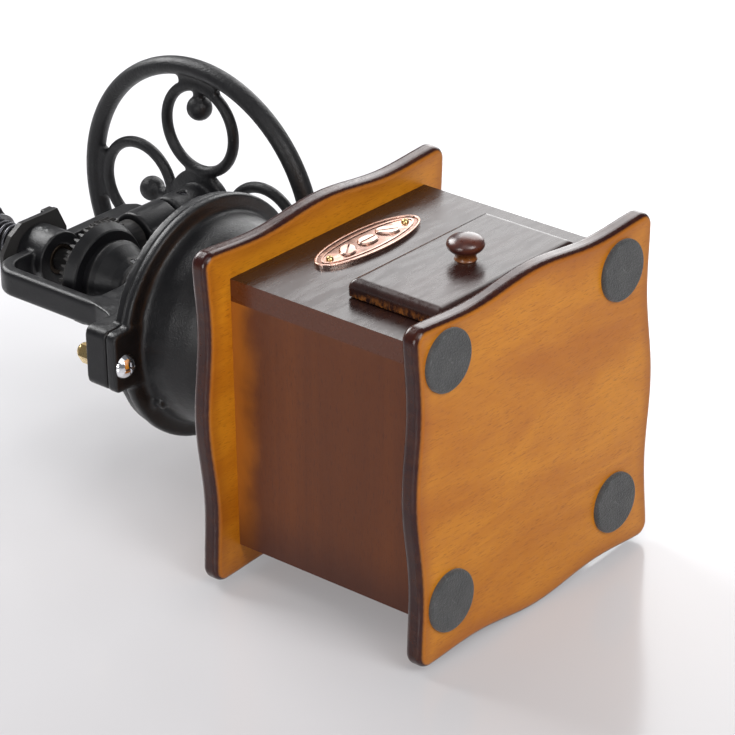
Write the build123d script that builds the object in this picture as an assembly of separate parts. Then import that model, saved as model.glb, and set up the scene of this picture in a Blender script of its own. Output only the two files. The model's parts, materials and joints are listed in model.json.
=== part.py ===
from build123d import *
import math
import os

# Hand wheel coffee grinder. Millimetres, +Z up, standing on its pads.
# Origin: middle of the plane the pads rest on. Drawer faces -Y, hand wheel +X.

# ---- pads and plates
PAD_T = 2.0
PAD_R = 13.5
PAD_SPOTS = [(-57.6, -58.0), (53.9, -56.3), (50.7, 50.4), (-57.0, 49.9)]
PLATE_HALF = 75.0
PLATE_T = 9.0
PLATE_EDGE_R = 3.0
# ---- wooden box
BOX_X = 61.2
BOX_Y = 61.6
BOX_H = 102.6
PANEL_T = 10.0
# ---- drawer
OPEN_X = 34.0
OPEN_TOP = 58.0
DRAWER_GAP = 0.5
FRONT_X = (-44.6, 42.8)
FRONT_Z = (15.6, 64.9)
FRONT_T = 8.0
FRONT_NOSE = 3.9
DRAWER_BACK = 48.0
DRAWER_WALL = 5.0
KNOB_Z = 40.0
# ---- everything above the box sits a little forward of its middle
MECH_Y = -1.5
# ---- bowl and burrs
BOWL_R = 47.4
FLANGE_R = 55.2
FLANGE_T = 5.0
RING_R = 53.9
RING_T = 4.6
MOUTH_R = 43.6
BURR_R = 26.0
# ---- clamp lugs
LUG_X = (50.0, 63.0)
LUG_Y = 13.8
LUG_SCREW_X = 57.4
LUG_SCREW_Y = 2.0
# ---- bridge casting
LEG_IN = 28.6
LEG_T = 5.6
LEG_Y = 6.3
BEAM_Z = (281.6, 288.2)
HUB_R = 13.0
HUB_Z = (276.5, 292.6)
TUBE_R = 12.2
TUBE_X = (36.5, 57.0)
# ---- shafts and gears
SHAFT_R = 5.0
RUN_FIT = 0.06
BUSH_R = 7.0
AXLE_Z = 266.9
PINION_TEETH = 27
CROWN_TEETH = 46
PINION_PITCH_R = 13.4
MODULE = 2 * PINION_PITCH_R / PINION_TEETH
CROWN_PITCH_R = MODULE * CROWN_TEETH / 2
PITCH_Z = AXLE_Z - PINION_PITCH_R
ADDENDUM = 0.98
DEDENDUM = 1.43
CROWN_OUT = 24.0
CROWN_IN = 21.1
PINION_X = 19.3
# ---- hand wheel
WHEEL_X = 82.0
RIM_R = 68.8
RIM_AXIAL = 4.8
RIM_RADIAL = 4.3
RING_C = 39.5
SCROLL_R = 20.9
SCROLL_BAR = 2.75
BALL_AT = (31.6, 49.9)
WHEEL_TURN = 1.4
BALL_R = 6.1
WHEEL_HUB_R = 12.2
WHEEL_HUB_X = (59.0, 87.0)
KNOB_AT = 62.5
# ---- grind adjuster above the bridge
SPRING_R = 7.2
WIRE_R = 0.9
SPRING_TURNS = 5
SPRING_Z = (297.6, 316.2)

BASE_Z = PAD_T + PLATE_T
TOP_Z = BASE_Z + BOX_H
DECK = TOP_Z + PLATE_T
PARTING = 186.5
FLANGE_Z = PARTING - FLANGE_T
RING_TOP = PARTING + RING_T
LUG_TOP = 198.5
LUG_LOW = 180.5
LEG_OUT = LEG_IN + LEG_T


def tube(r_out, r_in, z0, z1):
    body = Pos(0, 0, z0) * extrude(Circle(r_out), z1 - z0)
    return body - Pos(0, 0, z0 - 1) * extrude(Circle(r_in), z1 - z0 + 2)


def rod(r, z0, z1):
    return Pos(0, 0, z0) * extrude(Circle(r), z1 - z0)


def block(x0, x1, y0, y1, z0, z1):
    mid = Pos((x0 + x1) / 2, (y0 + y1) / 2, (z0 + z1) / 2)
    return mid * Box(abs(x1 - x0), abs(y1 - y0), abs(z1 - z0))


def on_wheel(shape):
    """Lay a wheel-plane shape on +X, turned as the wheel stands on its shaft."""
    return Pos(WHEEL_X, 0, AXLE_Z) * Rot(WHEEL_TURN, 0, 0) * Rot(0, 90, 0) * shape


def along_x(shape, x, y=0.0, z=AXLE_Z):
    """Lay a shape built along +Z on the +X direction."""
    return Pos(x, y, z) * Rot(0, 90, 0) * shape


def turned(points):
    """Solid of revolution about Z from (radius, height) points."""
    outline = make_face(Polyline(*[(r, 0, z) for r, z in points], close=True))
    return revolve(outline, Axis.Z)


# ---------------------------------------------------------------- plates
def side_offset(s):
    w = math.pi * s / PLATE_HALF
    return PLATE_HALF + 0.45 + 0.94 * math.cos(w) + 1.23 * math.cos(2 * w)


def plate_outline():
    turn_at = PLATE_HALF - 5.6
    steps = 16
    side = [-turn_at + 2 * turn_at * i / steps for i in range(steps + 1)]
    base = [(s, -side_offset(s)) for s in side]
    edges = []
    for quarter in range(4):
        a = math.radians(90 * quarter)
        c, k = math.cos(a), math.sin(a)
        spun = [(x * c - y * k, x * k + y * c) for x, y in base]
        edges.append(Spline(*spun))
        b = a + math.radians(90)
        nx, ny = base[0]
        nxt = (nx * math.cos(b) - ny * math.sin(b), nx * math.sin(b) + ny * math.cos(b))
        reach = turn_at + (side_offset(turn_at) - turn_at) * math.cos(math.pi / 4)
        mid = (reach * c + reach * k, reach * k - reach * c)
        edges.append(ThreePointArc(spun[-1], mid, nxt))
    return make_face(Curve() + edges)


def wavy_plate(z0):
    slab = extrude(plate_outline(), PLATE_T)
    rims = slab.faces().filter_by(Axis.Z)
    return Pos(0, 0, z0) * fillet(rims.edges(), PLATE_EDGE_R)


def foot_pads():
    disc = extrude(Circle(PAD_R), PAD_T)
    disc = chamfer(disc.faces().sort_by(Axis.Z)[0].edges(), 0.5)
    return [Pos(x, y, 0) * disc for x, y in PAD_SPOTS]


def bowl_screw_spots(shape):
    return [Rot(0, 0, a) * Pos(36.8, 0, 0) * shape for a in (45, 135, 225, 315)]


def bottom_plate():
    return wavy_plate(PAD_T)


def top_plate():
    pilot = rod(2.02, DECK - 6.2, DECK + 1)
    holes = [rod(29.0, TOP_Z - 1, DECK + 1)] + bowl_screw_spots(pilot)
    return wavy_plate(TOP_Z) - [Pos(0, MECH_Y, 0) * hole for hole in holes]


# ---------------------------------------------------------------- box
def side_panel(sign):
    x0, x1 = sorted((sign * (BOX_X - PANEL_T), sign * BOX_X))
    reach = BOX_Y - PANEL_T
    return block(x0, x1, -reach, reach, BASE_Z, TOP_Z)


def front_panel():
    slab = block(-BOX_X, BOX_X, -BOX_Y, -BOX_Y + PANEL_T, BASE_Z, TOP_Z)
    hole = block(-OPEN_X, OPEN_X, -BOX_Y - 1, -BOX_Y + PANEL_T + 1, BASE_Z - 1, OPEN_TOP)
    pins = [label_spot(s, 0.8, 6.0) for s in (-1, 1)]
    return slab - hole - pins


def back_panel():
    return block(-BOX_X, BOX_X, BOX_Y - PANEL_T, BOX_Y, BASE_Z, TOP_Z)


def drawer_guides():
    reach = BOX_Y - PANEL_T - 0.2
    rail = block(OPEN_X + 0.2, OPEN_X + 8.0, -reach, reach, BASE_Z, BASE_Z + 12.0)
    return [rail, mirror(rail, Plane.YZ)]


# ---------------------------------------------------------------- label
LABEL_X = 0.2
LABEL_Z = 92.7
LABEL_A = 31.3
LABEL_B = 10.6
LABEL_T = 1.1
PIN_DX = 23.8


def front_frame(x, z, y=-BOX_Y):
    """Frame on the front face whose Z points out of the box (-Y)."""
    return Pos(x, y, z) * Rot(90, 0, 0)


def label_spot(side, r, deep):
    hole = Pos(0, 0, -deep) * extrude(Circle(r), deep + 4)
    return front_frame(LABEL_X + side * PIN_DX, LABEL_Z) * hole


def label_plate():
    plate = extrude(Ellipse(LABEL_A, LABEL_B), LABEL_T)
    plate = plate + Pos(0, 0, LABEL_T) * (
        extrude(Ellipse(LABEL_A, LABEL_B), 0.6)
        - extrude(Ellipse(LABEL_A - 1.3, LABEL_B - 1.3), 0.6))
    rolled = plate.edges().filter_by(lambda e: abs(e.center().Z - LABEL_T - 0.6) < 0.01)
    plate = fillet(rolled, 0.4)
    bead = extrude(Ellipse(LABEL_A - 3.2, LABEL_B - 3.2), 0.35)
    bead = bead - extrude(Ellipse(LABEL_A - 3.9, LABEL_B - 3.9), 0.35)
    plate = plate + Pos(0, 0, LABEL_T) * bead
    bean = extrude(Ellipse(5.4, 3.7), 0.9)
    seam = Pos(0, 0, 0.2) * extrude(Rectangle(9.2, 0.8), 1.0)
    bean = chamfer(bean.faces().sort_by(Axis.Z)[-1].edges(), 0.6) - seam
    motif = [Pos(dx, 0, LABEL_T) * Rot(0, 0, a) * bean
             for dx, a in ((0, 0), (-12.6, 35), (12.6, -35))]
    badge = plate + motif
    holes = [Pos(s * PIN_DX, 0, -1) * extrude(Circle(0.8), 6) for s in (-1, 1)]
    return front_frame(LABEL_X, LABEL_Z) * (badge - holes)


def label_pins():
    shank = Pos(0, 0, -5.0) * extrude(Circle(0.8), LABEL_T + 5.3)
    dome = Pos(0, 0, LABEL_T) * (Sphere(1.7) & Pos(0, 0, 1) * Box(4, 4, 2))
    pin = shank + dome
    return [front_frame(LABEL_X + s * PIN_DX, LABEL_Z) * pin for s in (-1, 1)]


# ---------------------------------------------------------------- drawer
FACE_Y = -BOX_Y - 0.3
DRAWER_X = OPEN_X - DRAWER_GAP
DRAWER_Z = (BASE_Z + 0.4, OPEN_TOP - 2.0)


def drawer_front():
    z0, z1 = FRONT_Z
    slab = block(*FRONT_X, FACE_Y - FRONT_T, FACE_Y, z0, z1)
    slab = fillet(slab.edges().filter_by(Axis.Y), 1.6)
    slab = fillet(slab.faces().sort_by(Axis.Y)[0].edges(), FRONT_NOSE)
    slab = fillet(slab.faces().sort_by(Axis.Y)[-1].edges(), 1.2)
    bore = Pos(0, FACE_Y + 1, KNOB_Z) * Rot(90, 0, 0) * extrude(Circle(2.0), FRONT_T + 2)
    return slab - bore


def drawer_side(sign):
    x0, x1 = sorted((sign * DRAWER_X, sign * (DRAWER_X - DRAWER_WALL)))
    wall = block(x0, x1, FACE_Y, DRAWER_BACK, *DRAWER_Z)
    slot = block(sign * (DRAWER_X - 2.5), sign * (DRAWER_X - DRAWER_WALL - 1),
                 FACE_Y - 1, DRAWER_BACK - 2.5, DRAWER_Z[0] + 3, DRAWER_Z[0] + 6)
    return wall - slot


def drawer_back():
    x = DRAWER_X - DRAWER_WALL
    wall = block(-x, x, DRAWER_BACK - DRAWER_WALL, DRAWER_BACK, *DRAWER_Z)
    slot = block(-x - 1, x + 1, DRAWER_BACK - DRAWER_WALL - 1, DRAWER_BACK - 2.5,
                 DRAWER_Z[0] + 3, DRAWER_Z[0] + 6)
    return wall - slot


def drawer_bottom():
    x = DRAWER_X - 2.5
    return block(-x, x, FACE_Y, DRAWER_BACK - 2.5, DRAWER_Z[0] + 3, DRAWER_Z[0] + 6)


def drawer_knob():
    side = Spline((4.9, 0, 0), (4.1, 0, 0.9), (4.0, 0, 2.0), (5.2, 0, 3.4), (7.2, 0, 4.7),
                  (8.0, 0, 6.3), (7.3, 0, 8.3), (5.3, 0, 9.7), (2.7, 0, 10.4), (0, 0, 10.6))
    close_up = Polyline((0, 0, 10.6), (0, 0, 0), (4.9, 0, 0))
    knob = revolve(make_face(Curve() + [side, close_up]), Axis.Z) - rod(1.6, -1, 8)
    return Pos(0, FACE_Y - FRONT_T, KNOB_Z) * Rot(90, 0, 0) * knob


def drawer_knob_screw():
    head = Pos(0, 0, -2.4) * extrude(Circle(4.0), 2.4)
    slot = Pos(0, 0, -2.6) * extrude(Rectangle(6.5, 1.0), 1.0)
    screw = head - slot + extrude(Circle(1.6), FRONT_T + 7.0)
    return Pos(0, FACE_Y, KNOB_Z) * Rot(90, 0, 0) * screw


# ---------------------------------------------------------------- bowl
def lug_pair(z0, z1, r):
    x0, x1 = LUG_X
    pad = block(x0 - 8, x1, -LUG_Y, LUG_Y, z0, z1)
    pad = fillet(pad.edges().filter_by(Axis.Z).group_by(Axis.X)[-1], r)
    return [pad, Rot(0, 0, 180) * pad]


def lug_pairs_of(shape):
    """Copies of a shape on the two clamp axes, half a turn apart."""
    placed = Pos(-LUG_SCREW_X, LUG_SCREW_Y, 0) * shape
    return [placed, Rot(0, 0, 180) * placed]


def lug_bores(r, z0, z1):
    return lug_pairs_of(rod(r, z0, z1))


def bowl_outer():
    return [(0, DECK), (42, DECK), (42, DECK + 3.2), (41, DECK + 4.2),
            (32.6, DECK + 4.2), (31.4, DECK + 7), (31.4, 137), (35, 142.5),
            (39.4, 150), (43, 158.5), (45.8, 168), (BOWL_R, FLANGE_Z - 1.5),
            (BOWL_R + 1.5, FLANGE_Z), (FLANGE_R - 0.8, FLANGE_Z),
            (FLANGE_R, FLANGE_Z + 0.8), (FLANGE_R, PARTING - 0.6),
            (FLANGE_R - 0.6, PARTING), (0, PARTING)]


def bowl_inner():
    return [(0, DECK - 1), (BURR_R, DECK - 1), (BURR_R, 146), (28, 146.4),
            (34, 152), (38.0, 158), (41.2, 166), (MOUTH_R, 178),
            (MOUTH_R, PARTING + 1), (0, PARTING + 1)]


def gate_marks():
    """Cast stubs left on the bowl wall under the flange."""
    stub = block(43.9, 49.6, -2.6, 2.6, 175.4, 179.6)
    return [Rot(0, 0, a) * fillet(stub.edges().filter_by(Axis.Z), 0.8) for a in (-32, 148)]


def hopper_bowl():
    body = turned(bowl_outer())
    body = body + lug_pair(LUG_LOW, PARTING, 2.4) + gate_marks()
    body = body - turned(bowl_inner()) - lug_bores(2.7, 170, 200)
    return body - bowl_screw_spots(rod(2.1, DECK - 1, DECK + 8))


def bowl_screws():
    head = Pos(0, 0, -3) * (Sphere(4.6) & Pos(0, 0, 5) * Box(10, 10, 4))
    screw = Pos(0, 0, DECK + 4.25) * (head + rod(2.0, -10.0, 1.0))
    slot = Pos(0, 0, DECK + 6.1) * Box(7, 1.0, 1.6)
    return bowl_screw_spots(screw - slot)


# ---------------------------------------------------------------- burrs
BURR_Z = (DECK + 5.0, 146.0)


def outer_burr():
    z0, z1 = BURR_Z
    ring = tube(BURR_R - 0.02, 14, z0, z1)
    cone = turned([(0, z0 - 1), (22.6, z0 - 1), (17.4, z1 + 1), (0, z1 + 1)])
    ring = ring - cone
    groove = Pos(23.4, 0, z0 - 0.5) * Rot(0, -13.5, 0) * Box(2.6, 1.5, 44)
    return ring - [Rot(0, 0, 15 * i) * groove for i in range(24)]


def inner_burr():
    z0, z1 = BURR_Z
    body = turned([(0, z0 + 0.4), (21.0, z0 + 0.4), (21.3, z0 + 1.4),
                   (16.4, z1 - 2), (11.0, z1 + 5), (8.2, z1 + 6), (0, z1 + 6)])
    groove = Pos(18.8, 0, z0 + 12) * Rot(-24, -13.5, 0) * Box(3.2, 1.7, 34)
    body = body - [Rot(0, 0, 20 * i) * groove for i in range(18)]
    return body - rod(SHAFT_R, z0 - 1, z1 + 9)


def burr_washer():
    return tube(9.0, SHAFT_R + RUN_FIT, BURR_Z[0] - 1.5, BURR_Z[0] + 0.4)


def hex_nut(across, bore, z0, z1):
    body = Pos(0, 0, z0) * extrude(RegularPolygon(across / 2, 6, major_radius=False), z1 - z0)
    body = body & turned([(0, z0), (across * 0.52, z0), (across * 0.578, z0 + 0.6),
                          (across * 0.578, z1 - 0.6), (across * 0.52, z1), (0, z1)])
    return body - rod(bore, z0 - 1, z1 + 1)


def burr_nut():
    return hex_nut(15.0, SHAFT_R, BURR_Z[0] - 7.0, BURR_Z[0] - 1.5)


# ---------------------------------------------------------------- bridge
def bridge_side():
    """Leg outline in the X-Z plane on the free (-X) side."""
    points = [(-52, LUG_TOP - 0.5), (-46, 201.2), (-40, 206.0), (-36.2, 212.5),
              (-LEG_OUT, 221), (-LEG_OUT, BEAM_Z[1]), (0, BEAM_Z[1]), (0, BEAM_Z[0]),
              (-LEG_IN, BEAM_Z[0]), (-LEG_IN, 229.5), (-24.6, 226.5), (0, 226.5),
              (0, 206), (-14, 206), (-26, 200), (-38, 193.0), (-MOUTH_R - 1, PARTING + 0.5),
              (-52, PARTING + 0.5)]
    face = make_face(Polyline(*[(x, 0, z) for x, z in points], close=True))
    slab = extrude(face, LEG_Y, both=True)
    corner = [e for e in slab.edges().filter_by(Axis.Y)
              if abs(e.center().X + LEG_OUT) < 0.1 and abs(e.center().Z - BEAM_Z[1]) < 0.1]
    slab = fillet(corner, 13.0)
    inner = [e for e in slab.edges().filter_by(Axis.Y)
             if abs(e.center().X + LEG_IN) < 0.1 and abs(e.center().Z - BEAM_Z[0]) < 0.1]
    return fillet(inner, 8.0)


def bridge_far_side():
    """Leg outline on the +X side, which carries the bearing tube."""
    points = [(0, BEAM_Z[1]), (52, BEAM_Z[1]), (56.5, 283), (TUBE_X[1], AXLE_Z + 6),
              (TUBE_X[1] - 2.0, AXLE_Z - 10), (46.5, 246), (43.0, 226), (43.6, 212), (47, 202),
              (52, LUG_TOP - 0.5), (52, PARTING + 0.5),
              (MOUTH_R + 1, PARTING + 0.5), (38, 193), (26, 200), (14, 206), (0, 206),
              (0, 226.5), (24.6, 226.5), (33, 230), (37.5, 238), (TUBE_X[0] + 1.5, 256),
              (TUBE_X[0] + 1.5, BEAM_Z[0] - 3.0), (33.5, BEAM_Z[0]), (0, BEAM_Z[0])]
    face = make_face(Polyline(*[(x, 0, z) for x, z in points], close=True))
    return extrude(face, LEG_Y, both=True)


def cast_marks():
    """Shallow round pads left by the mould on the bridge's front faces."""
    pad = Rot(90, 0, 0) * extrude(Circle(1.7), 1.2)
    small = Rot(90, 0, 0) * extrude(Circle(1.0), 2.0)
    spots = [Pos(-31.5, -LEG_Y + 0.9, 215.0) * pad, Pos(-57.0, -LUG_Y + 0.9, 191.5) * pad]
    return spots + [Pos(-0.6, -HUB_R + 1.6, z) * small for z in (283.0, 287.2)]


def bridge():
    near = bridge_side()
    long_edges = [e for e in near.edges() if e.center().X < -LEG_IN - 1
                  and abs(abs(e.center().Y) - LEG_Y) < 0.1
                  and abs(e.center().X + LEG_OUT) < 6.5 and e.center().Z > 224]
    near = fillet([e for e in long_edges if abs(e.center().X + LEG_OUT) < 0.1], 2.2)
    ring = tube(RING_R, MOUTH_R + 2.5, PARTING, RING_TOP)
    body = near + bridge_far_side() + ring
    lugs = lug_pair(PARTING, LUG_TOP, 3.4)
    clear = rod(MOUTH_R + 2.5, PARTING - 1, LUG_TOP + 1)
    body = body + [lug - clear for lug in lugs]
    body = body + rod(HUB_R, *HUB_Z) + rod(12.4, 204, 226.9)
    body = body + along_x(extrude(Circle(TUBE_R), TUBE_X[1] - TUBE_X[0]), TUBE_X[0])
    body = body + cast_marks()
    body = body - rod(BUSH_R, 200, 300) - along_x(extrude(Circle(BUSH_R), 40), 30)
    return body - lug_bores(2.7, 180, 205) - lug_bores(6.0, LUG_TOP, 215)


def bush(length):
    sleeve = tube(BUSH_R, SHAFT_R + RUN_FIT, 0, length)
    return chamfer(sleeve.edges().filter_by(GeomType.CIRCLE), 0.3)


def lower_bush():
    return Pos(0, 0, 204) * bush(23.2)


def upper_bush():
    return Pos(0, 0, HUB_Z[0]) * bush(HUB_Z[1] - HUB_Z[0])


def axle_bush():
    return along_x(bush(TUBE_X[1] - TUBE_X[0]), TUBE_X[0])


def lock_plate():
    outline = [(14.6, -15.6), (19.6, -5.0), (19.6, 5.0), (14.6, 15.6), (-8.1, 15.8),
               (-15.0, 11.6), (-20.6, 4.0), (-20.6, -4.0), (-15.0, -11.6), (-8.1, -15.8)]
    plate = extrude(make_face(Polyline(*outline, close=True)), 3.0)
    plate = Pos(0, 0, HUB_Z[1]) * chamfer(plate.faces().sort_by(Axis.Z)[-1].edges(), 0.6)
    latch = block(8.2, 14.4, -15.6, -10.5, HUB_Z[1] + 1.0, HUB_Z[1] + 4.6)
    plate = plate + fillet(latch.edges().filter_by(Axis.Z), 0.7)
    return plate - rod(SHAFT_R + 0.8, HUB_Z[1] - 1, HUB_Z[1] + 5)


# ---------------------------------------------------------------- clamp fixings
def clamp_screws():
    dome = Sphere(6.1) & Pos(0, 0, -5.1) * Box(14, 14, 5.0)
    head = Pos(0, 0, LUG_LOW + 2.6) * dome
    drive = Pos(0, 0, LUG_LOW - 3.8) * (Box(5.4, 1.0, 2.0) + Box(1.0, 5.4, 2.0))
    screw = head - drive + rod(2.5, LUG_LOW - 0.2, LUG_TOP + 5.0)
    return lug_pairs_of(screw)


def acorn_nuts():
    z0 = LUG_TOP
    hexa = Pos(0, 0, z0) * extrude(RegularPolygon(4.4, 6, major_radius=False), 5.6)
    dome = Pos(0, 0, z0 + 5.4) * Sphere(4.1)
    dome = dome & block(-6, 6, -6, 6, z0 + 5.2, z0 + 13)
    nut = hexa + dome - rod(2.5, z0 - 1, z0 + 6.0)
    return lug_pairs_of(nut)


# ---------------------------------------------------------------- burr shaft
def burr_shaft():
    shaft = rod(SHAFT_R, BURR_Z[0] - 8.5, 333)
    shaft = chamfer(shaft.edges().filter_by(GeomType.CIRCLE), 0.6)
    grooves = [tube(SHAFT_R + 1, SHAFT_R - 0.35, 312.4 + 1.6 * i, 313.1 + 1.6 * i)
               for i in range(12)]
    return shaft - grooves


def crown_tooth():
    """One wedge tooth pointing up, centred on +X."""
    low = PITCH_Z - DEDENDUM - 0.3
    high = PITCH_Z + ADDENDUM
    faces = []
    for r in (CROWN_IN, CROWN_OUT):
        wide = 0.822 * r / CROWN_PITCH_R
        slim = 0.304 * r / CROWN_PITCH_R
        face = make_face(Polyline((r, -wide, low), (r, wide, low), (r, slim, high),
                                  (r, -slim, high), close=True))
        faces.append(face)
    return loft(faces, ruled=True)


def crown_gear():
    low = PITCH_Z - DEDENDUM
    body = turned([(0, 227.3), (11.6, 227.3), (12.0, 229.5), (13.3, 233.0), (15.2, 236.4),
                   (17.0, 239.4), (18.0, 242.2), (17.8, 243.6), (16.8, 244.4), (16.8, 246.5),
                   (21.2, 246.5), (21.8, 247.2), (CROWN_OUT, low), (CROWN_IN, low),
                   (CROWN_IN, low - 1.2), (9.0, low - 1.2), (9.0, low + 0.6), (0, low + 0.6)])
    pitch = 360 / CROWN_TEETH
    tooth = crown_tooth()
    teeth = [Rot(0, 0, pitch * (i + 0.5)) * tooth for i in range(CROWN_TEETH)]
    body = body + teeth
    screw_hole = Pos(0, 0, 230.2) * Rot(90, 0, 0) * extrude(Circle(1.6), 16)
    return body - rod(SHAFT_R, 220, 260) - screw_hole


def gear_set_screw():
    grub = Pos(0, 0, 230.2) * Rot(90, 0, 0) * Pos(0, 0, SHAFT_R) * extrude(Circle(1.58), 7.4)
    return grub - Pos(0, -SHAFT_R - 7.4, 230.2) * Box(2.4, 1.4, 0.6)


def pinion():
    pitch = 2 * math.pi / PINION_TEETH
    shape = [(11.88, 0.911), (12.68, 0.822), (13.40, 0.625), (14.02, 0.429), (14.38, 0.304)]
    points = []
    for i in range(PINION_TEETH):
        mid = i * pitch
        half = [(r, w / r) for r, w in shape]
        for r, a in half:
            points.append((r * math.cos(mid - a), r * math.sin(mid - a)))
        for r, a in reversed(half):
            points.append((r * math.cos(mid + a), r * math.sin(mid + a)))
    blank = extrude(make_face(Polyline(*points, close=True)), 5.7)
    hub = extrude(Circle(9.5), 16.4)
    pin = Pos(0, 0, 9.6) * Rot(90, 0, 0) * extrude(Circle(1.25), 12, both=True)
    wheel = blank + hub - Pos(0, 0, -1) * extrude(Circle(SHAFT_R), 20) - pin
    return along_x(wheel, PINION_X)


def pinion_pin():
    return along_x(Pos(0, 0, 9.6) * Rot(90, 0, 0) * extrude(Circle(1.25), 9.8, both=True), PINION_X)


def wheel_shaft():
    shaft = extrude(Circle(SHAFT_R), WHEEL_HUB_X[1] - PINION_X - 0.4)
    shaft = chamfer(shaft.edges().filter_by(GeomType.CIRCLE), 0.5)
    pin = Pos(0, 0, 9.2) * Rot(90, 0, 0) * extrude(Circle(1.25), 12, both=True)
    return along_x(shaft - pin, PINION_X + 0.4)


# ---------------------------------------------------------------- hand wheel
def wheel_arm(ball_at):
    """One scroll ring of the wheel, drawn on +X in the wheel plane."""
    ring = Pos(RING_C, 0, 0) * Torus(SCROLL_R, SCROLL_BAR)
    outward = 1 if ball_at > RING_C else -1
    edge = RING_C + outward * (SCROLL_R - 1)
    reach = abs(edge - ball_at)
    neck = Rot(0, 90, 0) * extrude(Circle(2.9), reach)
    neck = Pos(min(edge, ball_at), 0, 0) * neck
    return ring + Pos(ball_at, 0, 0) * Sphere(BALL_R) + neck


def rim_web():
    """Flat web that joins a scroll ring to the rim."""
    web = extrude(Circle(RIM_R) - Circle(RIM_R - 13.5), 2.0, both=True)
    wedge = make_face(Polyline((0, 0), (80, 15.5), (80, -15.5), close=True))
    web = web & extrude(wedge, 5, both=True)
    return web - Pos(RING_C, 0, 0) * extrude(Circle(SCROLL_R - 1.2), 5, both=True)


def wheel_rim():
    section = Pos(RIM_R, 0, 0) * Rot(-90, 0, 0) * Ellipse(RIM_RADIAL, RIM_AXIAL)
    return revolve(section, Axis.Z)


def hand_wheel():
    wheel = wheel_rim()
    for turn in range(4):
        ball_at = BALL_AT[turn % 2]
        wheel = wheel + Rot(0, 0, 90 * turn) * (wheel_arm(ball_at) + rim_web())
    wheel = wheel + extrude(Circle(18.6), 2.4, both=True)
    hub = Pos(0, 0, WHEEL_HUB_X[0] - WHEEL_X) * extrude(
        Circle(WHEEL_HUB_R), WHEEL_HUB_X[1] - WHEEL_HUB_X[0])
    hub = chamfer(hub.edges().filter_by(GeomType.CIRCLE), 1.0)
    boss = Pos(0, KNOB_AT, 0) * extrude(Circle(6.2), 7.0)
    wheel = wheel + hub + boss
    wheel = wheel - Pos(0, 0, -30) * extrude(Circle(SHAFT_R), 60)
    wheel = wheel - Pos(0, KNOB_AT, -1.0) * extrude(Circle(2.5), 20)
    tapped = Pos(0, 0, WHEEL_HUB_X[0] + 10 - WHEEL_X) * Rot(0, 0, 180) * Rot(-90, 0, 0)
    wheel = wheel - tapped * extrude(Circle(2.2), 20)
    return on_wheel(wheel)


def wheel_set_screw():
    grub = Pos(0, 0, SHAFT_R) * extrude(Circle(2.17), WHEEL_HUB_R - SHAFT_R - 1.4)
    grub = grub - Pos(0, 0, WHEEL_HUB_R - 1.4) * Box(3.6, 0.8, 1.2)
    place = Pos(0, 0, WHEEL_HUB_X[0] + 10 - WHEEL_X) * Rot(0, 0, 180) * Rot(-90, 0, 0)
    return on_wheel(place * grub)


def knob_stud():
    stud = rod(2.5, -1.0, 36.0) + rod(5.0, 36.0, 38.0)
    return on_wheel(Pos(0, KNOB_AT, 0) * stud)


def crank_knob():
    profile = [(0, 7.6), (6.0, 7.6), (6.6, 8.4), (6.4, 10.0), (5.6, 12.0), (5.8, 14.5),
               (7.6, 19.0), (9.4, 24.0), (10.2, 28.0), (9.9, 31.5), (8.6, 34.4), (6.6, 35.8),
               (0, 35.8)]
    knob = turned(profile) - rod(2.5 + RUN_FIT, 0, 40)
    return on_wheel(Pos(0, KNOB_AT, 0) * knob)


# ---------------------------------------------------------------- adjuster
def spring_seat():
    seat = tube(10.2, SHAFT_R + RUN_FIT, HUB_Z[1] + 3.2, SPRING_Z[0] - 0.3)
    return seat


def spring():
    z0, z1 = SPRING_Z
    pitch = (z1 - z0 - 2 * WIRE_R) / SPRING_TURNS
    path = Helix(pitch=pitch, height=z1 - z0 - 2 * WIRE_R, radius=SPRING_R)
    start = Plane(origin=path @ 0, z_dir=path % 0)
    coil = sweep(start * Circle(WIRE_R), path=path)
    return Pos(0, 0, z0 + WIRE_R) * coil


def spring_cap():
    return tube(10.2, SHAFT_R + RUN_FIT, SPRING_Z[1] + 0.1, SPRING_Z[1] + 1.9)


def adjusting_nut():
    z0 = SPRING_Z[1] + 2.1
    body = turned([(0, z0), (8.0, z0), (8.4, z0 + 0.8), (8.4, z0 + 5.0), (12.2, z0 + 6.2),
                   (13.0, z0 + 7.2), (13.0, z0 + 11.0), (12.2, z0 + 12.0), (0, z0 + 12.0)])
    flute = Pos(14.0, 0, z0 + 5) * extrude(Circle(1.9), 8)
    body = body - [Rot(0, 0, 30 * i) * flute for i in range(12)]
    return body - rod(SHAFT_R + RUN_FIT, z0 - 1, z0 + 14)


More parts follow.
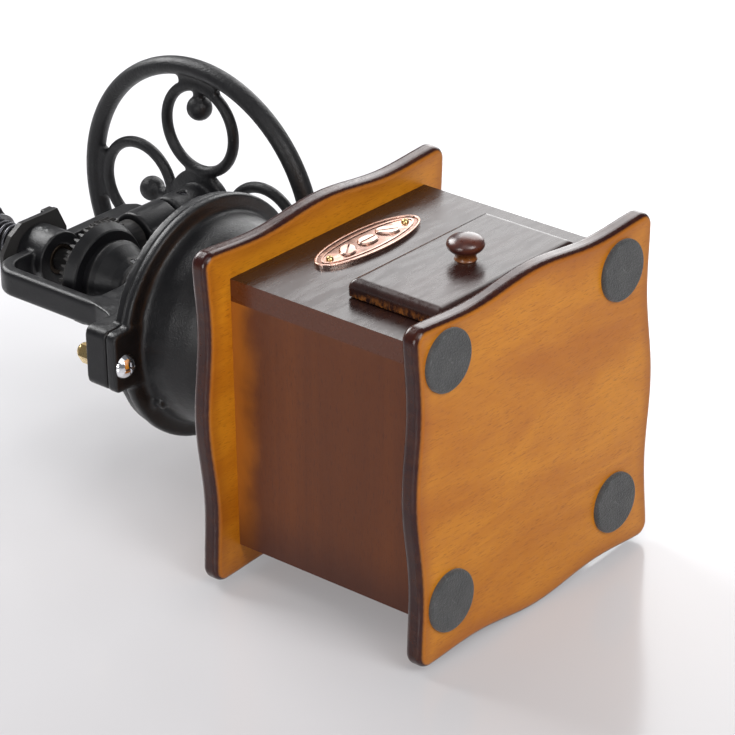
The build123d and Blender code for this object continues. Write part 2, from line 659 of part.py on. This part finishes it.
NODES = {
    "foot_pads": foot_pads,
    "bottom_plate": bottom_plate,
    "top_plate": top_plate,
    "side_panel_left": lambda: side_panel(-1),
    "side_panel_right": lambda: side_panel(1),
    "front_panel": front_panel,
    "back_panel": back_panel,
    "drawer_guides": drawer_guides,
    "label_plate": label_plate,
    "label_pins": label_pins,
    "drawer_front": drawer_front,
    "drawer_side_left": lambda: drawer_side(-1),
    "drawer_side_right": lambda: drawer_side(1),
    "drawer_back": drawer_back,
    "drawer_bottom": drawer_bottom,
    "drawer_knob": drawer_knob,
    "drawer_knob_screw": drawer_knob_screw,
    "hopper_bowl": hopper_bowl,
    "bowl_screws": bowl_screws,
    "outer_burr": outer_burr,
    "bridge": bridge,
    "clamp_screws": clamp_screws,
    "acorn_nuts": acorn_nuts,
    "lower_bush": lower_bush,
    "upper_bush": upper_bush,
    "axle_bush": axle_bush,
    "lock_plate": lock_plate,
    "burr_shaft": burr_shaft,
    "crown_gear": crown_gear,
    "gear_set_screw": gear_set_screw,
    "inner_burr": inner_burr,
    "burr_washer": burr_washer,
    "burr_nut": burr_nut,
    "spring_seat": spring_seat,
    "spring": spring,
    "hand_wheel": hand_wheel,
    "wheel_shaft": wheel_shaft,
    "pinion": pinion,
    "pinion_pin": pinion_pin,
    "wheel_set_screw": wheel_set_screw,
    "knob_stud": knob_stud,
    "crank_knob": crank_knob,
    "spring_cap": spring_cap,
    "adjusting_nut": adjusting_nut,
}


BOX_NODES = list(NODES)[:17]


def solid_list(shape):
    if isinstance(shape, list):
        return [s for item in shape for s in solid_list(item)]
    return list(shape.solids())


def main():
    os.makedirs("parts", exist_ok=True)
    for name, make in NODES.items():
        shift = Pos(0, 0 if name in BOX_NODES else MECH_Y, 0)
        solids = [shift * s for s in solid_list(make())]
        shape = solids[0] if len(solids) == 1 else Compound(children=solids)
        shape.label = name
        export_step(shape, f"parts/{name}.step")
        box = shape.bounding_box()
        print(f"{name}: {len(solids)} solid(s), volume {shape.volume:.0f}, "
              f"z {box.min.Z:.1f} to {box.max.Z:.1f}")


main()
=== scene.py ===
import json
import math
import bpy
from mathutils import Matrix, Vector


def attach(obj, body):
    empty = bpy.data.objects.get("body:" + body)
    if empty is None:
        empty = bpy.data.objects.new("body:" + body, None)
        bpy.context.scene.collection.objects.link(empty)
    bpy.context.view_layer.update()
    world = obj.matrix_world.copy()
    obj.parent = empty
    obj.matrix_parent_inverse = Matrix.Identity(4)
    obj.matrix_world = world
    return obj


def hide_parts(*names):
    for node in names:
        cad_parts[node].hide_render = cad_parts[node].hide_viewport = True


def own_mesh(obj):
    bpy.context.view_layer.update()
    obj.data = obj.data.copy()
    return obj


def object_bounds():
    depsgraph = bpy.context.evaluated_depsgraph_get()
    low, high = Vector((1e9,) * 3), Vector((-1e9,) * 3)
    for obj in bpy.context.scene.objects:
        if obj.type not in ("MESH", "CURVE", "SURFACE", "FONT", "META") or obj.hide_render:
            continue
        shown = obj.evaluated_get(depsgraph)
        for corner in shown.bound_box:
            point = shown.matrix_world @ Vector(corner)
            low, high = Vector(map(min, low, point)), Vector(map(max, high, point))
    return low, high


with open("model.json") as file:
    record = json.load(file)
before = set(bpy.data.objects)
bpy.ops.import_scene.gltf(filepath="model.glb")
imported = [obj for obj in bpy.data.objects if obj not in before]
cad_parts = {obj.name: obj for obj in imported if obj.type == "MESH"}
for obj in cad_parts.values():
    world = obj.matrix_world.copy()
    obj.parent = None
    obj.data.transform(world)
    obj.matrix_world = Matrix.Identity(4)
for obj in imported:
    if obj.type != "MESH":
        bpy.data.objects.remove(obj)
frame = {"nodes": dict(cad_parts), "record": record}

CAD_LO, CAD_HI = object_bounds()
MM = 0.001

# ------------------------------------------------------------------ node graphs


class Graph:
    """A Principled material with short helpers for wiring procedural nodes."""

    def __init__(self, name):
        self.mat = bpy.data.materials.new(name)
        self.mat.use_nodes = True
        self.tree = self.mat.node_tree
        self.bsdf = self.tree.nodes["Principled BSDF"]
        self.out = self.tree.nodes["Material Output"]

    def node(self, kind, **settings):
        made = self.tree.nodes.new("ShaderNode" + kind)
        for key, value in settings.items():
            setattr(made, key, value)
        return made

    def put(self, socket, value):
        if isinstance(value, bpy.types.NodeSocket):
            self.tree.links.new(value, socket)
        elif value is not None:
            socket.default_value = value

    def coords(self, scale=(1, 1, 1), turn=(0, 0, 0)):
        place = self.node("Mapping")
        self.put(place.inputs["Vector"], self.node("TexCoord").outputs["Object"])
        place.inputs["Scale"].default_value = scale
        place.inputs["Rotation"].default_value = turn
        return place.outputs["Vector"]

    def noise(self, scale, stretch=(1, 1, 1), detail=3.0, rough=0.55, warp=0.0, turn=(0, 0, 0)):
        tex = self.node("TexNoise")
        self.put(tex.inputs["Vector"], self.coords(stretch, turn))
        tex.inputs["Scale"].default_value = scale
        tex.inputs["Detail"].default_value = detail
        tex.inputs["Roughness"].default_value = rough
        tex.inputs["Distortion"].default_value = warp
        return tex.outputs["Fac"]

    def cells(self, scale, stretch=(1, 1, 1), feature="F1"):
        tex = self.node("TexVoronoi", feature=feature)
        self.put(tex.inputs["Vector"], self.coords(stretch))
        tex.inputs["Scale"].default_value = scale
        return tex.outputs["Distance"]

    def ramp(self, value, low, high, out_low=0.0, out_high=1.0, smooth=True):
        node = self.node("MapRange", interpolation_type="SMOOTHSTEP" if smooth else "LINEAR")
        self.put(node.inputs["Value"], value)
        for key, number in (("From Min", low), ("From Max", high),
                            ("To Min", out_low), ("To Max", out_high)):
            node.inputs[key].default_value = number
        return node.outputs["Result"]

    def math(self, kind, a, b=None):
        node = self.node("Math", operation=kind)
        self.put(node.inputs[0], a)
        self.put(node.inputs[1], b)
        return node.outputs[0]

    def mix(self, fac, a, b, blend="MIX"):
        node = self.node("Mix", data_type="RGBA", blend_type=blend)
        self.put(node.inputs[0], fac)
        self.put(node.inputs[6], a if isinstance(a, bpy.types.NodeSocket) else (*a, 1.0))
        self.put(node.inputs[7], b if isinstance(b, bpy.types.NodeSocket) else (*b, 1.0))
        return node.outputs[2]

    def axis(self, letter):
        split = self.node("SeparateXYZ")
        self.put(split.inputs[0], self.coords())
        return split.outputs["XYZ".index(letter)]

    def normal(self, letter):
        split = self.node("SeparateXYZ")
        self.put(split.inputs[0], self.node("TexCoord").outputs["Normal"])
        return split.outputs["XYZ".index(letter)]

    def worn(self, low, high):
        return self.ramp(self.node("NewGeometry").outputs["Pointiness"], low, high)

    def bump(self, height, strength, distance, under=None):
        node = self.node("Bump")
        self.put(node.inputs["Height"], height)
        node.inputs["Strength"].default_value = strength
        node.inputs["Distance"].default_value = distance
        self.put(node.inputs["Normal"], under)
        return node.outputs["Normal"]

    def finish(self, colour, rough, normal=None, **sockets):
        if not isinstance(colour, bpy.types.NodeSocket):
            colour = (*colour, 1.0)
        self.put(self.bsdf.inputs["Base Color"], colour)
        self.put(self.bsdf.inputs["Roughness"], rough)
        self.put(self.bsdf.inputs["Normal"], normal)
        for key, value in sockets.items():
            self.bsdf.inputs[key.replace("_", " ")].default_value = value
        return self.mat


ALONG = {"X": (0.07, 1, 1), "Y": (1, 0.07, 1), "Z": (1, 1, 0.07)}
SHORT = {"X": (0.12, 1, 1), "Y": (1, 0.12, 1), "Z": (1, 1, 0.12)}


def wood_parts(g, grain, light, dark, fleck, fleck_amount):
    """Cloudy stain, long fibres and short dark pores, with the bump they make."""
    cloud = g.ramp(g.noise(26, ALONG[grain] if grain != "X" else (0.35, 1, 1), 4.0, 0.6, 0.8),
                   0.32, 0.70)
    colour = g.mix(cloud, light, dark)
    fibre = g.noise(620, ALONG[grain], 3.0, 0.6)
    colour = g.mix(g.ramp(fibre, 0.40, 0.72, 0.0, 0.32), colour, dark)
    pore = g.ramp(g.noise(2300, SHORT[grain], 2.0, 0.6), 0.54, 0.72, 0.0, fleck_amount)
    colour = g.mix(pore, colour, fleck)
    height = g.math("SUBTRACT", fibre, g.math("MULTIPLY", pore, 0.7))
    return colour, height


PLATE_HALF = 75.0 * MM
LONG_WAVE, SHORT_WAVE = 0.94 * MM, 1.23 * MM


def past_wave(g, across, along):
    """How far a point lies out across the plate, with the wave of its side taken off."""
    turn = g.math("MULTIPLY", along, math.pi / PLATE_HALF)
    first = g.math("MULTIPLY", g.math("COSINE", turn), LONG_WAVE)
    second = g.math("MULTIPLY", g.math("COSINE", g.math("MULTIPLY", turn, 2.0)), SHORT_WAVE)
    return g.math("SUBTRACT", across, g.math("ADD", first, second))


def plate_wood(name, light, dark, fleck, stain):
    """Amber plate whose rounded wavy rim carries a dark stain."""
    g = Graph(name)
    colour, height = wood_parts(g, "X", light, dark, fleck, 0.55)
    x = g.math("ABSOLUTE", g.axis("X"))
    y = g.math("ABSOLUTE", g.axis("Y"))
    edge = g.math("MAXIMUM", past_wave(g, x, y), past_wave(g, y, x))
    uneven = g.math("MULTIPLY", g.math("SUBTRACT", g.noise(70, detail=3.0), 0.5), 0.0016)
    edge = g.math("ADD", edge, uneven)
    glow = g.ramp(edge, 0.066, 0.0735, 0.0, 0.55)
    colour = g.mix(glow, colour, (0.30, 0.080, 0.008))
    flat = g.math("ABSOLUTE", g.normal("Z"))
    rim = g.math("MULTIPLY", g.ramp(flat, 0.72, 0.97, 1.0, 0.0), g.ramp(edge, 0.066, 0.070))
    patchy = g.ramp(g.noise(160, detail=4.0), 0.30, 0.62, 0.96, 1.0)
    colour = g.mix(g.math("MULTIPLY", rim, patchy), colour, stain)
    rough = g.ramp(g.noise(300, detail=2.0), 0.3, 0.7, 0.33, 0.43)
    rough = g.math("SUBTRACT", rough, g.math("MULTIPLY", rim, 0.16))
    normal = g.bump(height, 0.16, 0.00025)
    return g.finish(colour, rough, normal, Coat_Weight=0.06, Coat_Roughness=0.22,
                    Specular_IOR_Level=0.34)


def panel_wood(name, light, dark, amber, stain):
    """Side or back panel: upright grain, a painted amber reflection of the top plate near it, painted shade
    towards the back.
    """
    g = Graph(name)
    colour, height = wood_parts(g, "Y", light, dark, stain, 0.45)
    uneven = g.math("MULTIPLY", g.math("SUBTRACT", g.noise(45, detail=3.0), 0.5), 0.016)
    high = g.math("ADD", g.axis("Z"), uneven)
    # painted reflection: amber light bounced from the top plate is painted onto the panel near it
    colour = g.mix(g.ramp(high, 0.0985, 0.1120, 0.0, 0.80), colour, amber)
    # painted shade: the panel is darkened towards its back edge (+Y), using the pore colour
    backward = g.math("ADD", g.axis("Y"), g.math("MULTIPLY", uneven, 0.4))
    colour = g.mix(g.ramp(backward, 0.034, 0.064, 0.0, 0.75), colour, stain)
    rough = g.ramp(g.noise(260, detail=2.0), 0.3, 0.7, 0.36, 0.46)
    return g.finish(colour, rough, g.bump(height, 0.14, 0.0002), Specular_IOR_Level=0.24)


def front_wood(name, face, side, streak, flank=None):
    """Very dark stained wood; end edges may match the sides, a rear edge may be streaky."""
    g = Graph(name)
    colour, height = wood_parts(g, "X", face, side, (0.012, 0.006, 0.005), 0.5)
    rough = g.ramp(g.noise(300, (0.2, 1, 1), 3.0), 0.3, 0.7, 0.22, 0.33)
    if flank:
        ends = g.ramp(g.math("ABSOLUTE", g.normal("X")), 0.55, 0.95)
        colour = g.mix(ends, colour, flank)
    if streak:
        rear = g.ramp(g.axis("Y"), -0.0668, -0.0628)
        upturned = g.ramp(g.math("ABSOLUTE", g.normal("Y")), 0.80, 0.97, 1.0, 0.0)
        rear = g.math("MULTIPLY", rear, upturned)
        streaks = g.ramp(g.noise(260, (1, 0.5, 1), 4.0, 0.7), 0.42, 0.66, 0.0, 0.9)
        colour = g.mix(g.math("MULTIPLY", rear, streaks), colour, streak)
    return g.finish(colour, rough, g.bump(height, 0.05, 0.00010), Specular_IOR_Level=0.44)


def bare_wood(name, light, dark):
    g = Graph(name)
    colour, height = wood_parts(g, "Y", light, dark, (0.24, 0.12, 0.05), 0.4)
    return g.finish(colour, 0.66, g.bump(height, 0.35, 0.0003))


def knob_wood(name, dark, warm):
    """Dark satin lacquer over turned wood, amber in the drawer knob's neck and on all of the crank knob."""
    g = Graph(name)
    colour = g.mix(g.ramp(g.noise(120, (1, 0.25, 1), 4.0, 0.6, 0.6), 0.38, 0.68), dark, warm)
    neck = g.ramp(g.axis("Y"), -0.0745, -0.0705, 0.0, 0.7)
    colour = g.mix(neck, colour, (0.20, 0.065, 0.008))
    rough = g.ramp(g.noise(500, detail=2.0), 0.3, 0.7, 0.26, 0.36)
    ring = g.noise(800, (0.2, 0.2, 0.2), 2.0)
    return g.finish(colour, rough, g.bump(ring, 0.10, 0.0002), Coat_Weight=0.25,
                    Coat_Roughness=0.16)


def enamel(name, tone, rough, grain, depth, wear=0.25, specular=0.5):
    """Satin black enamel on a casting, with orange peel and thin lighter edges."""
    g = Graph(name)
    dust = g.ramp(g.noise(60, detail=4.0, rough=0.6), 0.35, 0.75, 0.0, 0.16)
    lift = tuple(min(1.0, 2.6 * c + 0.006) for c in tone)
    colour = g.mix(dust, tone, lift)
    colour = g.mix(g.math("MULTIPLY", g.worn(0.515, 0.58), wear), colour, (0.09, 0.085, 0.08))
    peel = g.noise(grain, detail=3.0, rough=0.6)
    pits = g.ramp(g.cells(grain * 0.55), 0.0, 0.35)
    height = g.math("ADD", peel, g.math("MULTIPLY", pits, 0.35))
    broad = g.noise(grain * 0.12, detail=2.0)
    normal = g.bump(height, 0.5, depth, g.bump(broad, 0.2, depth * 0.8))
    spread = g.ramp(g.noise(220, detail=3.0), 0.3, 0.7, rough - 0.05, rough + 0.07)
    return g.finish(colour, spread, normal, Specular_IOR_Level=specular)


def turned_metal(name, tone, rough, lines="Z", tint=None, metallic=1.0):
    """Machined metal with fine tool rings and smudges."""
    g = Graph(name)
    ringed = {"X": (1, 0.02, 0.02), "Y": (0.02, 1, 0.02), "Z": (0.02, 0.02, 1)}[lines]
    ring = g.noise(2600, ringed, 2.0)
    smear = g.ramp(g.noise(240, detail=4.0, rough=0.65), 0.35, 0.70)
    colour = g.mix(smear, tone, tint or tuple(0.62 * c for c in tone))
    spread = g.math("ADD", g.ramp(smear, 0, 1, rough, rough + 0.14),
                    g.ramp(ring, 0.3, 0.7, -0.04, 0.05))
    return g.finish(colour, spread, g.bump(ring, 0.25, 0.00006), Metallic=metallic)


def plated(name, tone, rough):
    g = Graph(name)
    haze = g.ramp(g.noise(700, detail=4.0, rough=0.7), 0.40, 0.75)
    colour = g.mix(haze, tone, tuple(0.72 * c for c in tone))
    return g.finish(colour, g.ramp(haze, 0, 1, rough, rough + 0.10),
                    g.bump(g.noise(1500, detail=2.0), 0.05, 0.00005), Metallic=1.0)


def copper(name):
    """Pressed copper sheet: rosy field, brown in the recesses, a painted pale highlight on the rolled edge.
    """
    g = Graph(name)
    cloud = g.ramp(g.noise(150, (0.4, 1, 1), 4.0, 0.6, 0.5), 0.30, 0.70)
    colour = g.mix(cloud, (0.60, 0.40, 0.33), (0.42, 0.24, 0.18))
    hollow = g.ramp(g.node("NewGeometry").outputs["Pointiness"], 0.42, 0.495, 1.0, 0.0)
    colour = g.mix(g.math("MULTIPLY", hollow, 0.85), colour, (0.12, 0.07, 0.055))
    # painted highlight: the rolled edge is painted a pale glare colour
    colour = g.mix(g.math("MULTIPLY", g.worn(0.52, 0.60), 0.6), colour, (0.78, 0.68, 0.62))
    brushed = g.noise(1500, (0.08, 1, 1), 2.0)
    rough = g.math("ADD", g.ramp(brushed, 0.3, 0.7, 0.20, 0.30), g.math("MULTIPLY", cloud, 0.08))
    return g.finish(colour, rough, g.bump(brushed, 0.2, 0.00006), Metallic=1.0)


def foam(name):
    """Closed-cell foam skin: charcoal with a fine pale speckle."""
    g = Graph(name)
    speck = g.ramp(g.noise(2300, detail=2.0, rough=0.7), 0.52, 0.72)
    blotch = g.ramp(g.noise(120, detail=3.0), 0.3, 0.7)
    colour = g.mix(blotch, (0.030, 0.031, 0.032), (0.047, 0.048, 0.049))
    colour = g.mix(g.math("MULTIPLY", speck, 0.6), colour, (0.16, 0.16, 0.155))
    edge = g.worn(0.52, 0.60)
    colour = g.mix(g.math("MULTIPLY", edge, 0.5), colour, (0.15, 0.15, 0.15))
    height = g.math("ADD", g.noise(1500, detail=3.0), g.cells(1300))
    return g.finish(colour, 0.82, g.bump(height, 0.75, 0.0003), Sheen_Weight=0.25,
                    Sheen_Roughness=0.5)


def burr_iron(name):
    g = Graph(name)
    cloud = g.ramp(g.noise(300, detail=5.0, rough=0.7), 0.35, 0.68)
    colour = g.mix(cloud, (0.21, 0.205, 0.20), (0.10, 0.085, 0.07))
    return g.finish(colour, g.ramp(cloud, 0, 1, 0.36, 0.58),
                    g.bump(g.noise(1600, detail=3.0), 0.5, 0.00012), Metallic=1.0)


MATERIALS = {
    "wood_plate": plate_wood("plate_wood", (0.60, 0.225, 0.010), (0.43, 0.130, 0.004),
                             (0.24, 0.060, 0.003), (0.026, 0.005, 0.004)),
    "wood_box": panel_wood("panel_wood", (0.138, 0.038, 0.009), (0.104, 0.029, 0.009),
                           (0.36, 0.115, 0.012), (0.050, 0.015, 0.010)),
    "wood_front": front_wood("front_wood", (0.024, 0.009, 0.007), (0.017, 0.007, 0.006), None,
                             (0.085, 0.021, 0.006)),
    "wood_drawer": front_wood("drawer_wood", (0.028, 0.010, 0.008), (0.017, 0.006, 0.005),
                              (0.34, 0.12, 0.025)),
    "wood_bare": bare_wood("bare_wood", (0.60, 0.40, 0.22), (0.46, 0.28, 0.14)),
    "wood_knob": knob_wood("knob_wood", (0.034, 0.009, 0.008), (0.085, 0.020, 0.010)),
    "foam": foam("foam"),
    "copper": copper("copper"),
    "brass": turned_metal("brass", (0.62, 0.47, 0.22), 0.26, tint=(0.36, 0.25, 0.11)),
    "black_cast": enamel("cast_enamel", (0.0065, 0.0065, 0.0075), 0.36, 1500, 0.00016, 0.25, 0.30),
    "black_wheel": enamel("wheel_enamel", (0.0065, 0.0065, 0.0075), 0.42, 900, 0.00045, 0.3, 0.30),
    "black_bowl": enamel("bowl_enamel", (0.006, 0.0062, 0.0072), 0.34, 1250, 0.00034, 0.2, 0.32),
    "black_gear": enamel("gear_enamel", (0.006, 0.006, 0.007), 0.40, 1700, 0.00012, 0.35, 0.22),
    "steel": turned_metal("steel", (0.46, 0.46, 0.47), 0.28),
    "shaft_steel": turned_metal("shaft_steel", (0.035, 0.034, 0.034), 0.40, metallic=0.8),
    "spring_steel": turned_metal("spring_steel", (0.10, 0.10, 0.11), 0.34),
    "burr_iron": burr_iron("burr_iron"),
    "chrome": plated("chrome", (0.86, 0.87, 0.90), 0.07),
    "bronze": turned_metal("bronze", (0.040, 0.030, 0.022), 0.48),
}
OWN_LOOK = {"drawer_front": "wood_drawer", "hand_wheel": "black_wheel",
            "burr_shaft": "shaft_steel"}

for row in frame["record"]["subparts"]:
    node = frame["nodes"][row["node"]]
    look = MATERIALS[OWN_LOOK.get(row["node"], row["material_slot"])]
    if not node.material_slots:
        node.data.materials.append(None)
    for holder in node.material_slots:
        holder.link = "OBJECT"
        holder.material = look

# ------------------------------------------------------------------ casting softness


def soften(name, voxel, rounds, factor=0.5):
    """Melts a CAD casting's corners the way sand casting and enamel do."""
    node = frame["nodes"][name]
    mesh = node.modifiers.new("voxels", "REMESH")
    mesh.mode = "VOXEL"
    mesh.voxel_size = voxel
    mesh.use_smooth_shade = True
    melt = node.modifiers.new("melt", "SMOOTH")
    melt.factor = factor
    melt.iterations = rounds


soften("hand_wheel", 0.00075, 9)
soften("bridge", 0.0007, 6)
soften("hopper_bowl", 0.0009, 12)

# ------------------------------------------------------------------ own pieces


def lathe(name, profile, look, segments=72, smooth=4):
    """Smooth turned piece about +Z from (radius, height) points in millimetres."""
    dense = []
    last = len(profile) - 1
    for i in range(last):
        p0, p1 = profile[max(i - 1, 0)], profile[i]
        p2, p3 = profile[i + 1], profile[min(i + 2, last)]
        for k in range(smooth):
            t = k / smooth
            dense.append(tuple(
                0.5 * (2 * b + (c - a) * t + (2 * a - 5 * b + 4 * c - d) * t * t
                       + (3 * b - a - 3 * c + d) * t ** 3)
                for a, b, c, d in zip(p0, p1, p2, p3)))
    dense.append(profile[-1])
    verts = []
    for r, z in dense:
        for i in range(segments):
            a = 2 * math.pi * i / segments
            verts.append((max(r, 0.02) * MM * math.cos(a), max(r, 0.02) * MM * math.sin(a), z * MM))
    faces = []
    for row in range(len(dense) - 1):
        for i in range(segments):
            j = (i + 1) % segments
            a, b = row * segments, (row + 1) * segments
            faces.append((a + i, a + j, b + j, b + i))
    faces.append(tuple(reversed(range(segments))))
    faces.append(tuple(range(len(verts) - segments, len(verts))))
    mesh = bpy.data.meshes.new(name)
    mesh.from_pydata(verts, [], faces)
    mesh.shade_smooth()
    made = bpy.data.objects.new(name, mesh)
    bpy.context.collection.objects.link(made)
    mesh.materials.append(MATERIALS[look])
    return made


def place(piece, body, node, at, tilt=(0, 0, 0)):
    """Put a piece where its CAD node is, then let it ride the body in its stead."""
    turned_to = Matrix.Rotation(math.radians(tilt[0]), 4, "X") @ Matrix.Rotation(
        math.radians(tilt[1]), 4, "Y")
    piece.data.transform(Matrix.Translation(Vector(at) * MM) @ turned_to)
    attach(piece, body)
    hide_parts(node)


PAD_SPOTS = [(-57.6, -58.0), (53.9, -56.3), (50.7, 50.4), (-57.0, 49.9)]
PAD = [(0, 0.06), (6, 0.04), (11.9, 0.03), (12.8, 0.18), (13.35, 0.7), (13.45, 1.3), (13.45, 2.0)]
for number, (x, y) in enumerate(PAD_SPOTS):
    pad = lathe(f"pad_{number}", PAD, "foam", 96)
    place(pad, "base", "foot_pads", (x, y, 0))

KNOB = [(4.8, 0.0), (4.4, 0.9), (4.5, 2.0), (5.5, 3.3), (7.0, 4.5), (7.9, 6.0), (7.7, 7.6),
        (6.6, 8.9), (4.6, 9.9), (2.2, 10.45), (0.0, 10.6)]
KNOB_SEAT = (0, -69.9, 40.0)
knob = lathe("drawer_knob_turned", KNOB, "wood_knob")
place(knob, "drawer", "drawer_knob", KNOB_SEAT, (90, 0))

SPRING_LOW, SPRING_HIGH = 297.6, 316.2
SPRING_R, WIRE_R, SPRING_TURNS = 7.2, 0.9, 5
STEPS_A_TURN, WIRE_SIDES = 60, 14
MECHANISM_Y = -1.5


def coil_spring(name):
    """Round wire wound about the burr shaft, as rings of points joined into a tube."""
    steps, sides = STEPS_A_TURN * SPRING_TURNS, WIRE_SIDES
    rise = SPRING_HIGH - SPRING_LOW - 2 * WIRE_R
    slope = math.atan2(rise / SPRING_TURNS, 2 * math.pi * SPRING_R)
    verts = []
    for i in range(steps + 1):
        a = 2 * math.pi * SPRING_TURNS * i / steps
        z = SPRING_LOW + WIRE_R + rise * i / steps
        out = Vector((math.cos(a), math.sin(a), 0))
        over = Vector((math.sin(a) * math.sin(slope), -math.cos(a) * math.sin(slope),
                       math.cos(slope)))
        centre = out * SPRING_R + Vector((0, MECHANISM_Y, z))
        for k in range(sides):
            b = 2 * math.pi * k / sides
            verts.append((centre + (out * math.cos(b) + over * math.sin(b)) * WIRE_R) * MM)
    faces = []
    for i in range(steps):
        for k in range(sides):
            j = (k + 1) % sides
            a, b = i * sides, (i + 1) * sides
            faces.append((a + k, b + k, b + j, a + j))
    faces.append(tuple(range(sides)))
    faces.append(tuple(reversed(range(steps * sides, (steps + 1) * sides))))
    mesh = bpy.data.meshes.new(name)
    mesh.from_pydata(verts, [], faces)
    mesh.shade_smooth()
    made = bpy.data.objects.new(name, mesh)
    bpy.context.collection.objects.link(made)
    mesh.materials.append(MATERIALS["spring_steel"])
    return made


spring = coil_spring("spring_coil")
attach(spring, "burr_shaft")
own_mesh(spring)
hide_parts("spring")

# ------------------------------------------------------------------ stage


def stage_plane(name, corners, material):
    mesh = bpy.data.meshes.new(name)
    mesh.from_pydata(corners, [], [tuple(range(len(corners)))])
    made = bpy.data.objects.new(name, mesh)
    bpy.context.collection.objects.link(made)
    mesh.materials.append(material)
    return made


def one_sided(graph, hide_more=()):
    """Lets a stage plane be seen from its front only and never block the lamps."""
    t = graph.tree
    clear = graph.node("BsdfTransparent").outputs[0]
    back = graph.node("NewGeometry").outputs["Backfacing"]
    shadow = graph.node("LightPath").outputs["Is Shadow Ray"]
    hide = graph.math("MAXIMUM", back, shadow)
    for extra in hide_more:
        hide = graph.math("MAXIMUM", hide, extra)
    switch = graph.node("MixShader")
    t.links.new(hide, switch.inputs[0])
    t.links.new(graph.bsdf.outputs[0], switch.inputs[1])
    t.links.new(clear, switch.inputs[2])
    t.links.new(switch.outputs[0], graph.out.inputs["Surface"])


# both floors glow a little, like lit acrylic, so that shadows on them stay pale; their colour also carries
# a painted light falloff, darker towards the camera side (-X, -Z) and paler far off
FLOOR_NEAR_SHADED = (0.33, 0.320, 0.327)
FLOOR_FAR_LIT = (0.50, 0.50, 0.512)


def floor_material(name, only_camera):
    g = Graph(name)
    away = g.math("ADD", g.math("MULTIPLY", g.axis("X"), 0.75),
                  g.math("MULTIPLY", g.axis("Z"), 0.66))
    veil = g.math("MULTIPLY", g.math("SUBTRACT", g.noise(3.0, detail=2.0), 0.5), 0.06)
    # painted light falloff: darker near the camera side, paler far away
    colour = g.mix(g.ramp(g.math("ADD", away, veil), -0.30, 0.42), FLOOR_NEAR_SHADED, FLOOR_FAR_LIT)
    g.finish(colour, 0.16, g.bump(g.noise(900, detail=2.0), 0.02, 0.0001),
             Specular_IOR_Level=0.32, Emission_Color=(1.0, 0.985, 1.0, 1.0),
             Emission_Strength=0.22)
    extra = []
    if only_camera:
        extra.append(g.math("SUBTRACT", 1.0, g.node("LightPath").outputs["Is Camera Ray"]))
    one_sided(g, extra)
    return g.mat


CLEAR = 0.0003
REST_Y = CAD_HI.y + CLEAR
REACH = 4.0
stage_plane("rest_floor", [(-REACH, REST_Y, -REACH), (REACH, REST_Y, -REACH),
                           (REACH, REST_Y, REACH), (-REACH, REST_Y, REACH)],
            floor_material("rest_floor_look", False))
stage_plane("upright_floor", [(-REACH, -REACH, -CLEAR), (REACH, -REACH, -CLEAR),
                              (REACH, REACH, -CLEAR), (-REACH, REACH, -CLEAR)],
            floor_material("upright_floor_look", True))

world = bpy.data.worlds.new("studio")
bpy.context.scene.world = world
world.use_nodes = True
sky = world.node_tree.nodes["Background"]
sky.inputs["Color"].default_value = (0.96, 0.96, 1.0, 1.0)
sky.inputs["Strength"].default_value = 0.20

TARGET = Vector((0.0, 0.0, 0.12))


def softbox(name, direction, distance, width, height, power, tint=(1, 1, 1), shift=(0, 0, 0)):
    lamp = bpy.data.lights.new(name, "AREA")
    lamp.shape = "RECTANGLE"
    lamp.size = width
    lamp.size_y = height
    lamp.energy = power
    lamp.color = tint
    made = bpy.data.objects.new(name, lamp)
    bpy.context.collection.objects.link(made)
    away = Vector(direction).normalized()
    made.location = TARGET + away * distance + Vector(shift)
    made.rotation_euler = away.to_track_quat("Z", "Y").to_euler()
    return made


softbox("back_box", (0.672, -0.445, 0.592), 0.80, 0.80, 0.60, 6.0, shift=(0.20, -0.05, -0.20))
softbox("over_box", (0.05, -0.58, 0.81), 1.5, 0.9, 0.8, 26)
softbox("high_fill", (-0.45, -1.0, -0.55), 2.0, 1.6, 1.6, 9)
softbox("low_key", (-0.10, -0.62, -0.85), 1.4, 0.7, 0.7, 11)
softbox("left_box", (-0.96, -0.27, -0.16), 1.3, 0.5, 0.5, 6)
softbox("rear_fill", (0.35, 1.0, 0.45), 1.6, 1.2, 1.2, 8)

# ------------------------------------------------------------------ camera
CAMERA_AT = Vector((-1.039773, -0.691529, -0.821520))
CAMERA_RIGHT = Vector((0.654241, 0.017454, -0.756084)).normalized()
CAMERA_LOOK = Vector((0.672230, 0.444641, 0.591947)).normalized()
lens = bpy.data.cameras.new("camera")
lens.lens = 179.896
lens.sensor_width = 36.0
lens.clip_end = 50.0
camera = bpy.data.objects.new("camera", lens)
bpy.context.collection.objects.link(camera)
up = CAMERA_RIGHT.cross(CAMERA_LOOK).normalized()
right = CAMERA_LOOK.cross(up).normalized()
turn = Matrix((right, up, -CAMERA_LOOK)).transposed()
camera.matrix_world = Matrix.Translation(CAMERA_AT) @ turn.to_4x4()
bpy.context.scene.camera = camera
bpy.context.scene.view_settings.view_transform = "Standard"
